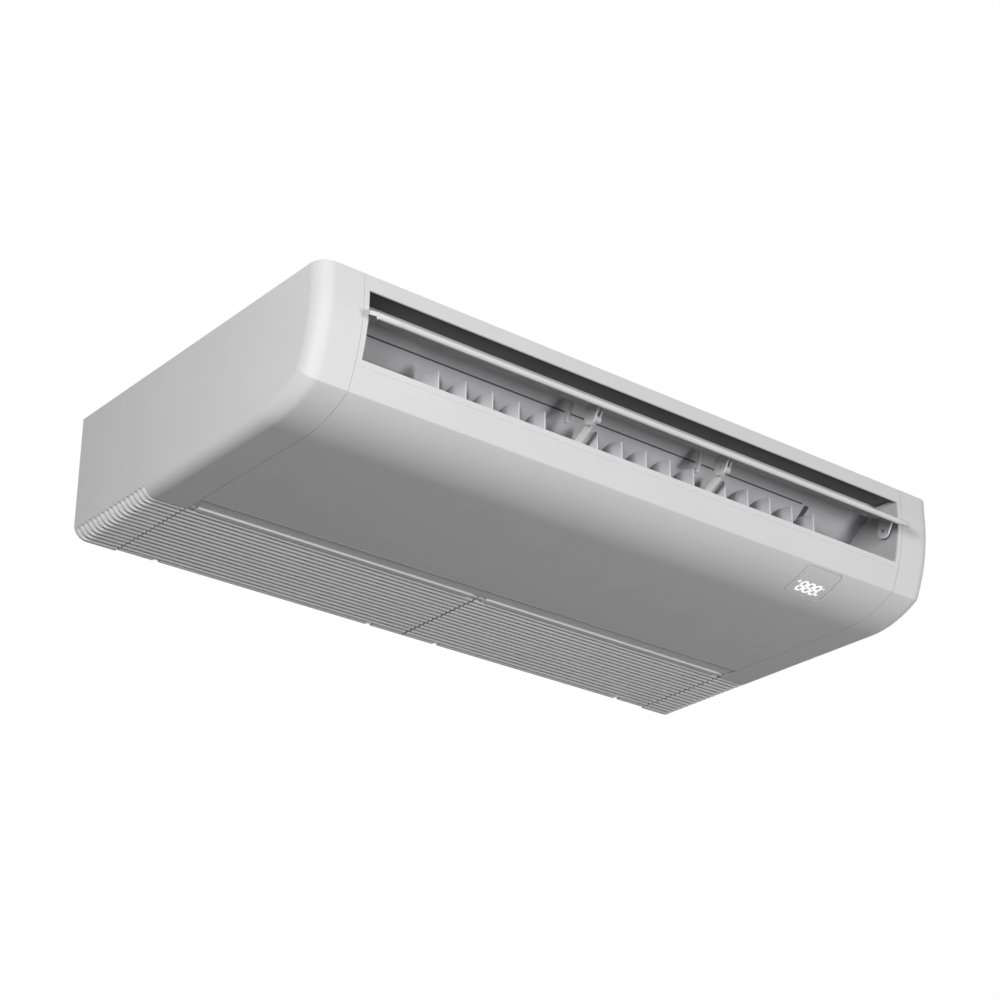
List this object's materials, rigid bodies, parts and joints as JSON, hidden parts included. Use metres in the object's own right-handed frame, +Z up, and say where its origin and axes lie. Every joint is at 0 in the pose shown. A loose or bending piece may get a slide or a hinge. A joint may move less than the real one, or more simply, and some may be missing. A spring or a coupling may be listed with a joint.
{
  "type": "floor-ceiling air conditioner indoor unit",
  "caption": "Flat floor-ceiling air conditioner indoor unit with a swinging air flap, linked vanes, radial fans and hinged intake grilles.",
  "frame": {"origin": "middle of the four suspension slots, on the top plane of the hanging brackets", "axes": "+X to the right seen from the air outlet, -Y towards the air outlet side, +Z up as hung under a ceiling"},
  "size_m": [1.35, 0.7233, 0.22],
  "materials": {
    "casing_white": "fine satin white injection moulding",
    "grille_white": "fine satin white injection moulding",
    "flap_white": "satin white blade",
    "duct_grey": "dark grey insulated air duct",
    "vane_grey": "light grey moulded vanes",
    "display_plastic": "smooth translucent display window",
    "zinc_sheet": "galvanised sheet steel",
    "coil_metal": "aluminium fins with tube bends",
    "copper": "drawn copper tube with brass flare nuts",
    "foam": "dark moulded foam",
    "fan_plastic": "dark grey fan plastic",
    "motor_paint": "dark painted motor case",
    "shaft_steel": "turned steel",
    "filter_mesh": "fine dark filter net in a frame",
    "spout_plastic": "off-white tube",
    "small_motor": "zinc-plated stepper case"
  },
  "bodies": {
    "root": {"top_plate": "zinc_sheet", "rear_plate": "zinc_sheet", "side_plate_left": "zinc_sheet", "side_plate_right": "zinc_sheet", "hanging_brackets": "zinc_sheet", "end_cap_left": "casing_white", "end_cap_right": "casing_white", "top_front_strip": "casing_white", "outlet_frame": "casing_white", "duct_roof": "duct_grey", "duct_floor": "duct_grey", "duct_sides": "duct_grey", "fascia_panel": "casing_white", "display_window": "display_plastic", "flap_strut_left": "flap_white", "flap_strut_right": "flap_white", "flap_motor": "small_motor", "vane_motors": "small_motor", "fan_deck": "zinc_sheet", "fan_casing_1": "fan_plastic", "fan_casing_2": "fan_plastic", "fan_casing_3": "fan_plastic", "fan_casing_4": "fan_plastic", "fan_motor": "motor_paint", "motor_bracket": "zinc_sheet", "shaft_bearings": "motor_paint", "evaporator_coil": "coil_metal", "drain_pan": "foam", "control_box": "zinc_sheet", "refrigerant_pipes": "copper", "drain_spout": "spout_plastic", "cover_screws": "shaft_steel"},
    "flap": {"flap": "flap_white"},
    "vane_1": {"vane_1": "vane_grey"},
    "vane_2": {"vane_2": "vane_grey"},
    "vane_3": {"vane_3": "vane_grey"},
    "vane_4": {"vane_4": "vane_grey"},
    "vane_5": {"vane_5": "vane_grey"},
    "vane_6": {"vane_6": "vane_grey"},
    "vane_7": {"vane_7": "vane_grey"},
    "vane_8": {"vane_8": "vane_grey"},
    "vane_9": {"vane_9": "vane_grey"},
    "vane_10": {"vane_10": "vane_grey"},
    "vane_11": {"vane_11": "vane_grey"},
    "vane_12": {"vane_12": "vane_grey"},
    "vane_13": {"vane_13": "vane_grey"},
    "vane_14": {"vane_14": "vane_grey"},
    "vane_15": {"vane_15": "vane_grey"},
    "vane_link_left": {"vane_link_left": "vane_grey"},
    "vane_link_middle": {"vane_link_middle": "vane_grey"},
    "vane_link_right": {"vane_link_right": "vane_grey"},
    "fan_rotor": {"fan_shaft": "shaft_steel", "fan_wheel_1": "fan_plastic", "fan_wheel_2": "fan_plastic", "fan_wheel_3": "fan_plastic", "fan_wheel_4": "fan_plastic"},
    "grille_left": {"intake_grille_left": "grille_white", "filter_left": "filter_mesh"},
    "grille_right": {"intake_grille_right": "grille_white", "filter_right": "filter_mesh"}
  },
  "joints": [
    {"name": "flap_swing", "type": "hinge", "parent": "root", "child": "flap", "pos_m": [0, -0.315, -0.075], "axis": [1, 0, 0], "range_deg": [-10, 67]},
    {"name": "vane_1_turn", "type": "hinge", "parent": "root", "child": "vane_1", "pos_m": [-0.406, -0.255, -0.15], "axis": [0, 0, 1], "range_deg": [-35, 35]},
    {"name": "vane_2_turn", "type": "hinge", "parent": "root", "child": "vane_2", "pos_m": [-0.352, -0.255, -0.15], "axis": [0, 0, 1], "range_deg": [-35, 35]},
    {"name": "vane_3_turn", "type": "hinge", "parent": "root", "child": "vane_3", "pos_m": [-0.298, -0.255, -0.15], "axis": [0, 0, 1], "range_deg": [-35, 35]},
    {"name": "vane_4_turn", "type": "hinge", "parent": "root", "child": "vane_4", "pos_m": [-0.244, -0.255, -0.15], "axis": [0, 0, 1], "range_deg": [-35, 35]},
    {"name": "vane_5_turn", "type": "hinge", "parent": "root", "child": "vane_5", "pos_m": [-0.19, -0.255, -0.15], "axis": [0, 0, 1], "range_deg": [-35, 35]},
    {"name": "vane_6_turn", "type": "hinge", "parent": "root", "child": "vane_6", "pos_m": [-0.078, -0.255, -0.15], "axis": [0, 0, 1], "range_deg": [-35, 35]},
    {"name": "vane_7_turn", "type": "hinge", "parent": "root", "child": "vane_7", "pos_m": [-0.024, -0.255, -0.15], "axis": [0, 0, 1], "range_deg": [-35, 35]},
    {"name": "vane_8_turn", "type": "hinge", "parent": "root", "child": "vane_8", "pos_m": [0.03, -0.255, -0.15], "axis": [0, 0, 1], "range_deg": [-35, 35]},
    {"name": "vane_9_turn", "type": "hinge", "parent": "root", "child": "vane_9", "pos_m": [0.084, -0.255, -0.15], "axis": [0, 0, 1], "range_deg": [-35, 35]},
    {"name": "vane_10_turn", "type": "hinge", "parent": "root", "child": "vane_10", "pos_m": [0.138, -0.255, -0.15], "axis": [0, 0, 1], "range_deg": [-35, 35]},
    {"name": "vane_11_turn", "type": "hinge", "parent": "root", "child": "vane_11", "pos_m": [0.212, -0.255, -0.15], "axis": [0, 0, 1], "range_deg": [-35, 35]},
    {"name": "vane_12_turn", "type": "hinge", "parent": "root", "child": "vane_12", "pos_m": [0.266, -0.255, -0.15], "axis": [0, 0, 1], "range_deg": [-35, 35]},
    {"name": "vane_13_turn", "type": "hinge", "parent": "root", "child": "vane_13", "pos_m": [0.32, -0.255, -0.15], "axis": [0, 0, 1], "range_deg": [-35, 35]},
    {"name": "vane_14_turn", "type": "hinge", "parent": "root", "child": "vane_14", "pos_m": [0.374, -0.255, -0.15], "axis": [0, 0, 1], "range_deg": [-35, 35]},
    {"name": "vane_15_turn", "type": "hinge", "parent": "root", "child": "vane_15", "pos_m": [0.428, -0.255, -0.15], "axis": [0, 0, 1], "range_deg": [-35, 35]},
    {"name": "vane_link_left_pin", "type": "hinge", "parent": "vane_3", "child": "vane_link_left", "pos_m": [-0.298, -0.233, -0.149], "axis": [0, 0, 1], "range_deg": [-35, 35]},
    {"name": "vane_link_middle_pin", "type": "hinge", "parent": "vane_8", "child": "vane_link_middle", "pos_m": [0.03, -0.233, -0.149], "axis": [0, 0, 1], "range_deg": [-35, 35]},
    {"name": "vane_link_right_pin", "type": "hinge", "parent": "vane_13", "child": "vane_link_right", "pos_m": [0.32, -0.233, -0.149], "axis": [0, 0, 1], "range_deg": [-35, 35]},
    {"name": "fan_spin", "type": "hinge", "parent": "root", "child": "fan_rotor", "pos_m": [0, 0.17, -0.104], "axis": [1, 0, 0], "continuous": true},
    {"name": "grille_left_hinge", "type": "hinge", "parent": "root", "child": "grille_left", "pos_m": [-0.297, 0.338, -0.2135], "axis": [1, 0, 0], "range_deg": [0, 85]},
    {"name": "grille_right_hinge", "type": "hinge", "parent": "root", "child": "grille_right", "pos_m": [0.297, 0.338, -0.2135], "axis": [1, 0, 0], "range_deg": [0, 85]}
  ],
  "couplings": [
    {"joint": "vane_1_turn", "follows": "vane_3_turn", "ratio": 1},
    {"joint": "vane_2_turn", "follows": "vane_3_turn", "ratio": 1},
    {"joint": "vane_4_turn", "follows": "vane_3_turn", "ratio": 1},
    {"joint": "vane_5_turn", "follows": "vane_3_turn", "ratio": 1},
    {"joint": "vane_6_turn", "follows": "vane_8_turn", "ratio": 1},
    {"joint": "vane_7_turn", "follows": "vane_8_turn", "ratio": 1},
    {"joint": "vane_9_turn", "follows": "vane_8_turn", "ratio": 1},
    {"joint": "vane_10_turn", "follows": "vane_8_turn", "ratio": 1},
    {"joint": "vane_11_turn", "follows": "vane_13_turn", "ratio": 1},
    {"joint": "vane_12_turn", "follows": "vane_13_turn", "ratio": 1},
    {"joint": "vane_14_turn", "follows": "vane_13_turn", "ratio": 1},
    {"joint": "vane_15_turn", "follows": "vane_13_turn", "ratio": 1},
    {"joint": "vane_link_left_pin", "follows": "vane_3_turn", "ratio": -1},
    {"joint": "vane_link_middle_pin", "follows": "vane_8_turn", "ratio": -1},
    {"joint": "vane_link_right_pin", "follows": "vane_13_turn", "ratio": -1}
  ]
}
